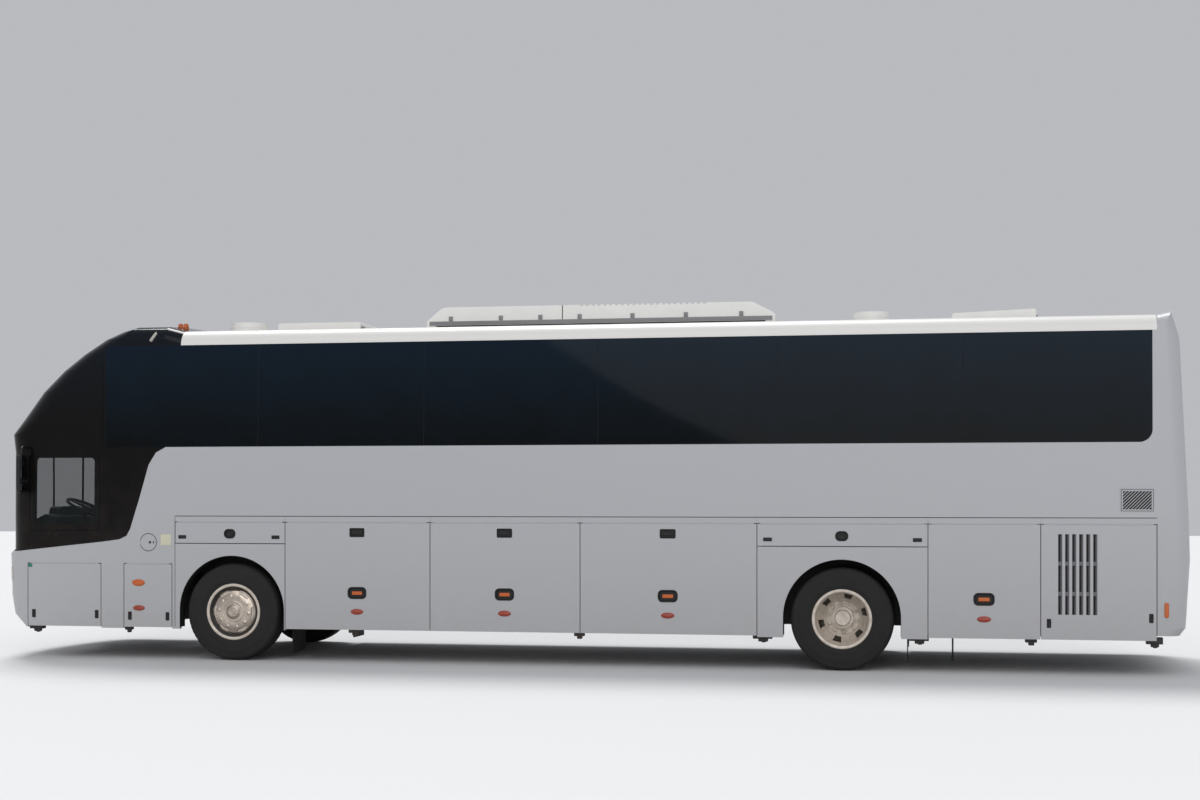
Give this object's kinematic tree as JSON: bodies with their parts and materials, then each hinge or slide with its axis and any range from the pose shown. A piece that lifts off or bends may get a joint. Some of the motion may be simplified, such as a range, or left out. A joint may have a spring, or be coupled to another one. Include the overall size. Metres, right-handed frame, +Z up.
{
  "type": "coach bus",
  "caption": "High-deck coach with a hollow body, top-hinged luggage and service flaps, a steered front axle and twin rear wheels.",
  "frame": {"origin": "on the ground under the middle of the coach", "axes": "+X to the front, +Y to the coach's left side, +Z up"},
  "size_m": [12.1998, 3.02, 3.6399],
  "materials": {
    "body_white": "gloss white paint",
    "roof_white": "white moulded panel",
    "gloss_black": "gloss black paint",
    "tinted_glass": "dark tinted",
    "clear_glass": "lightly tinted",
    "lamp_lens": "moulded lens",
    "tyre": "worn",
    "wheel_metal": "silver painted and bright",
    "rubber_black": "matt",
    "axle_black": "black painted",
    "engine_grey": "painted",
    "seat_fabric": "woven",
    "cab_plastic": "grained",
    "deck_wood": "covered ply",
    "floor_grey": "undercoat"
  },
  "bodies": {
    "body": {"air_conditioner": "roof_white", "cab_floor": "floor_grey", "cab_windows": "clear_glass", "dashboard": "cab_plastic", "engine": "engine_grey", "entrance_door": "body_white", "frame_rails": "axle_black", "front_axle": "axle_black", "front_bumper": "body_white", "front_mask": "gloss_black", "lamps": "lamp_lens", "luggage_bay": "floor_grey", "mirrors": "cab_plastic", "mud_flaps": "rubber_black", "passenger_deck": "deck_wood", "rear_axle": "axle_black", "rear_lockers": "floor_grey", "rear_wall": "body_white", "rear_window": "tinted_glass", "roof_hatches": "roof_white", "roof_panel": "body_white", "seats": "seat_fabric", "side_wall_left": "body_white", "side_wall_right": "body_white", "side_windows": "tinted_glass", "steering_wheel": "cab_plastic", "wheel_housings": "floor_grey", "windscreen": "clear_glass", "wipers": "cab_plastic"},
    "knuckle_left": {"front_knuckle_left": "axle_black"},
    "front_wheel_left": {"front_tyre_left": "tyre", "front_rim_left": "wheel_metal"},
    "rear_wheel_left": {"rear_tyres_left": "tyre", "rear_rims_left": "wheel_metal"},
    "knuckle_right": {"front_knuckle_right": "axle_black"},
    "front_wheel_right": {"front_tyre_right": "tyre", "front_rim_right": "wheel_metal"},
    "rear_wheel_right": {"rear_tyres_right": "tyre", "rear_rims_right": "wheel_metal"},
    "tie_rod": {"tie_rod": "axle_black"},
    "front_wheel_hatch_left": {"front_wheel_hatch_left": "body_white"},
    "front_wheel_hatch_right": {"front_wheel_hatch_right": "body_white"},
    "luggage_flap_1_left": {"luggage_flap_1_left": "body_white"},
    "luggage_flap_1_right": {"luggage_flap_1_right": "body_white"},
    "luggage_flap_2_left": {"luggage_flap_2_left": "body_white"},
    "luggage_flap_2_right": {"luggage_flap_2_right": "body_white"},
    "luggage_flap_3_left": {"luggage_flap_3_left": "body_white"},
    "luggage_flap_3_right": {"luggage_flap_3_right": "body_white"},
    "rear_wheel_hatch_left": {"rear_wheel_hatch_left": "body_white"},
    "rear_wheel_hatch_right": {"rear_wheel_hatch_right": "body_white"},
    "rear_locker_flap_left": {"rear_locker_flap_left": "body_white"},
    "rear_locker_flap_right": {"rear_locker_flap_right": "body_white"},
    "engine_side_door_left": {"engine_side_door_left": "body_white"},
    "engine_side_door_right": {"engine_side_door_right": "body_white"},
    "battery_flap_left": {"battery_flap_left": "body_white"},
    "battery_flap_right": {"battery_flap_right": "body_white"},
    "cab_locker_flap_left": {"cab_locker_flap_left": "body_white"},
    "engine_lid": {"engine_lid": "body_white"},
    "filler_flap": {"filler_flap": "body_white"}
  },
  "joints": [
    {"name": "front_wheel_hatch_left_hinge", "type": "hinge", "parent": "body", "child": "front_wheel_hatch_left", "pos_m": [3.44, 1.275, 1.423], "axis": [1, 0, 0], "range_deg": [0, 95]},
    {"name": "front_wheel_hatch_right_hinge", "type": "hinge", "parent": "body", "child": "front_wheel_hatch_right", "pos_m": [3.44, -1.275, 1.423], "axis": [-1, 0, 0], "range_deg": [0, 95]},
    {"name": "luggage_flap_1_left_hinge", "type": "hinge", "parent": "body", "child": "luggage_flap_1_left", "pos_m": [2.079, 1.275, 1.423], "axis": [1, 0, 0], "range_deg": [0, 95]},
    {"name": "luggage_flap_1_right_hinge", "type": "hinge", "parent": "body", "child": "luggage_flap_1_right", "pos_m": [2.079, -1.275, 1.423], "axis": [-1, 0, 0], "range_deg": [0, 95]},
    {"name": "luggage_flap_2_left_hinge", "type": "hinge", "parent": "body", "child": "luggage_flap_2_left", "pos_m": [0.546, 1.275, 1.423], "axis": [1, 0, 0], "range_deg": [0, 95]},
    {"name": "luggage_flap_2_right_hinge", "type": "hinge", "parent": "body", "child": "luggage_flap_2_right", "pos_m": [0.546, -1.275, 1.423], "axis": [-1, 0, 0], "range_deg": [0, 95]},
    {"name": "luggage_flap_3_left_hinge", "type": "hinge", "parent": "body", "child": "luggage_flap_3_left", "pos_m": [-1.0975, 1.275, 1.423], "axis": [1, 0, 0], "range_deg": [0, 95]},
    {"name": "luggage_flap_3_right_hinge", "type": "hinge", "parent": "body", "child": "luggage_flap_3_right", "pos_m": [-1.0975, -1.275, 1.423], "axis": [-1, 0, 0], "range_deg": [0, 95]},
    {"name": "rear_wheel_hatch_left_hinge", "type": "hinge", "parent": "body", "child": "rear_wheel_hatch_left", "pos_m": [-2.7905, 1.275, 1.423], "axis": [1, 0, 0], "range_deg": [0, 95]},
    {"name": "rear_wheel_hatch_right_hinge", "type": "hinge", "parent": "body", "child": "rear_wheel_hatch_right", "pos_m": [-2.7905, -1.275, 1.423], "axis": [-1, 0, 0], "range_deg": [0, 95]},
    {"name": "rear_locker_flap_left_hinge", "type": "hinge", "parent": "body", "child": "rear_locker_flap_left", "pos_m": [-4.132, 1.275, 1.423], "axis": [1, 0, 0], "range_deg": [0, 95]},
    {"name": "rear_locker_flap_right_hinge", "type": "hinge", "parent": "body", "child": "rear_locker_flap_right", "pos_m": [-4.132, -1.275, 1.423], "axis": [-1, 0, 0], "range_deg": [0, 95]},
    {"name": "engine_side_door_left_hinge", "type": "hinge", "parent": "body", "child": "engine_side_door_left", "pos_m": [-5.1845, 1.275, 1.423], "axis": [1, 0, 0], "range_deg": [0, 95]},
    {"name": "engine_side_door_right_hinge", "type": "hinge", "parent": "body", "child": "engine_side_door_right", "pos_m": [-5.1845, -1.275, 1.423], "axis": [-1, 0, 0], "range_deg": [0, 95]},
    {"name": "battery_flap_left_hinge", "type": "hinge", "parent": "body", "child": "battery_flap_left", "pos_m": [4.335, 1.275, 0.99], "axis": [1, 0, 0], "range_deg": [0, 90]},
    {"name": "battery_flap_right_hinge", "type": "hinge", "parent": "body", "child": "battery_flap_right", "pos_m": [4.335, -1.275, 0.99], "axis": [-1, 0, 0], "range_deg": [0, 90]},
    {"name": "cab_locker_flap_left_hinge", "type": "hinge", "parent": "body", "child": "cab_locker_flap_left", "pos_m": [5.265, 1.275, 0.99], "axis": [1, 0, 0], "range_deg": [0, 90]},
    {"name": "engine_lid_hinge", "type": "hinge", "parent": "body", "child": "engine_lid", "pos_m": [-6.082, 0, 1.76], "axis": [0, 1, 0], "range_deg": [0, 80]},
    {"name": "filler_flap_hinge", "type": "hinge", "parent": "body", "child": "filler_flap", "pos_m": [4.42, 1.275, 1.212], "axis": [0, 0, -1], "range_deg": [0, 100]},
    {"name": "steer_left", "type": "hinge", "parent": "body", "child": "knuckle_left", "pos_m": [3.42, 0.925, 0.5], "axis": [0, 0, 1], "range_deg": [-40, 40]},
    {"name": "front_wheel_left_spin", "type": "hinge", "parent": "knuckle_left", "child": "front_wheel_left", "pos_m": [3.42, 1.106, 0.5], "axis": [0, 1, 0], "continuous": true},
    {"name": "rear_wheel_left_spin", "type": "hinge", "parent": "body", "child": "rear_wheel_left", "pos_m": [-2.79, 0.941, 0.5], "axis": [0, 1, 0], "continuous": true},
    {"name": "steer_right", "type": "hinge", "parent": "body", "child": "knuckle_right", "pos_m": [3.42, -0.925, 0.5], "axis": [0, 0, 1], "range_deg": [-40, 40]},
    {"name": "front_wheel_right_spin", "type": "hinge", "parent": "knuckle_right", "child": "front_wheel_right", "pos_m": [3.42, -1.106, 0.5], "axis": [0, 1, 0], "continuous": true},
    {"name": "rear_wheel_right_spin", "type": "hinge", "parent": "body", "child": "rear_wheel_right", "pos_m": [-2.79, -0.941, 0.5], "axis": [0, 1, 0], "continuous": true},
    {"name": "tie_rod_pivot", "type": "hinge", "parent": "knuckle_left", "child": "tie_rod", "pos_m": [3.22, 0.925, 0.375], "axis": [0, 0, 1], "range_deg": [-40, 40]}
  ],
  "couplings": [
    {"joint": "steer_right", "follows": "steer_left", "ratio": 1},
    {"joint": "tie_rod_pivot", "follows": "steer_left", "ratio": -1}
  ]
}
